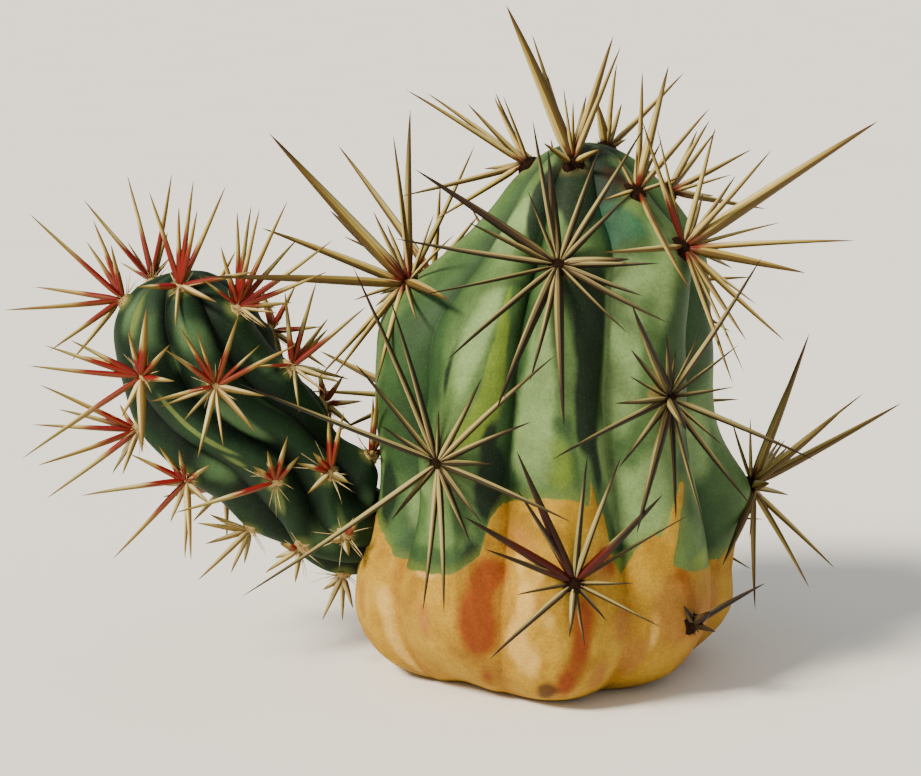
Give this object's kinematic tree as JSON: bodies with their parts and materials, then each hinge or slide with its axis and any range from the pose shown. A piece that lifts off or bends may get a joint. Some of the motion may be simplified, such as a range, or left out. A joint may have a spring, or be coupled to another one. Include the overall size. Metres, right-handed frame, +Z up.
{
  "type": "ribbed hedgehog cactus",
  "caption": "Ribbed hedgehog cactus, lifted whole: a broad stem on a flat corky base, a side branch on its flank, and clusters of long straight spines along the ribs",
  "frame": {"origin": "on the flat underside of the corky base, on the axis of the main stem's foot", "axes": "+Z up the main stem, +X to the right and away from the side branch, -Y to the side that shows the most spines"},
  "size_m": [0.1801, 0.1242, 0.1334],
  "materials": {
    "stem_skin": "satin",
    "branch_skin": "satin",
    "stem_spines": "satin",
    "branch_spines": "satin"
  },
  "bodies": {
    "root": {"main_stem": "stem_skin", "side_branch": "branch_skin", "spines_front_upper": "stem_spines", "spines_left_shoulder": "stem_spines", "spines_left_lower": "stem_spines", "spines_right_middle": "stem_spines", "spines_front_low": "stem_spines", "spines_right_low": "stem_spines", "spines_right_shoulder": "stem_spines", "spines_crown_front": "stem_spines", "spines_crown_left": "stem_spines", "spines_crown_right": "stem_spines", "spines_crown_back": "stem_spines", "spines_crown_edge": "stem_spines", "spines_old_base": "stem_spines", "spines_back_right_upper": "stem_spines", "spines_back_right_middle": "stem_spines", "spines_back_right_low": "stem_spines", "spines_back_crown": "stem_spines", "spines_back_upper": "stem_spines", "spines_back_middle": "stem_spines", "spines_back_low": "stem_spines", "spines_back_left_upper": "stem_spines", "spines_back_left_middle": "stem_spines", "spines_back_left_low": "stem_spines", "branch_spines_tip_left": "branch_spines", "branch_spines_tip_back": "branch_spines", "branch_spines_tip_front": "branch_spines", "branch_spines_tip_right": "branch_spines", "branch_spines_upper_left": "branch_spines", "branch_spines_upper_middle": "branch_spines", "branch_spines_outer_left": "branch_spines", "branch_spines_upper_right": "branch_spines", "branch_spines_lower_left": "branch_spines", "branch_spines_under_left": "branch_spines", "branch_spines_middle": "branch_spines", "branch_spines_lower_middle": "branch_spines", "branch_spines_neck_left": "branch_spines", "branch_spines_neck_front": "branch_spines", "branch_spines_lower_right": "branch_spines", "branch_spines_neck_under": "branch_spines", "branch_spines_back_right_upper": "branch_spines", "branch_spines_back_right_low": "branch_spines", "branch_spines_back_upper": "branch_spines", "branch_spines_back_middle": "branch_spines", "branch_spines_back_low": "branch_spines", "branch_spines_back_left_upper": "branch_spines", "branch_spines_back_left_low": "branch_spines"}
  },
  "joints": []
}
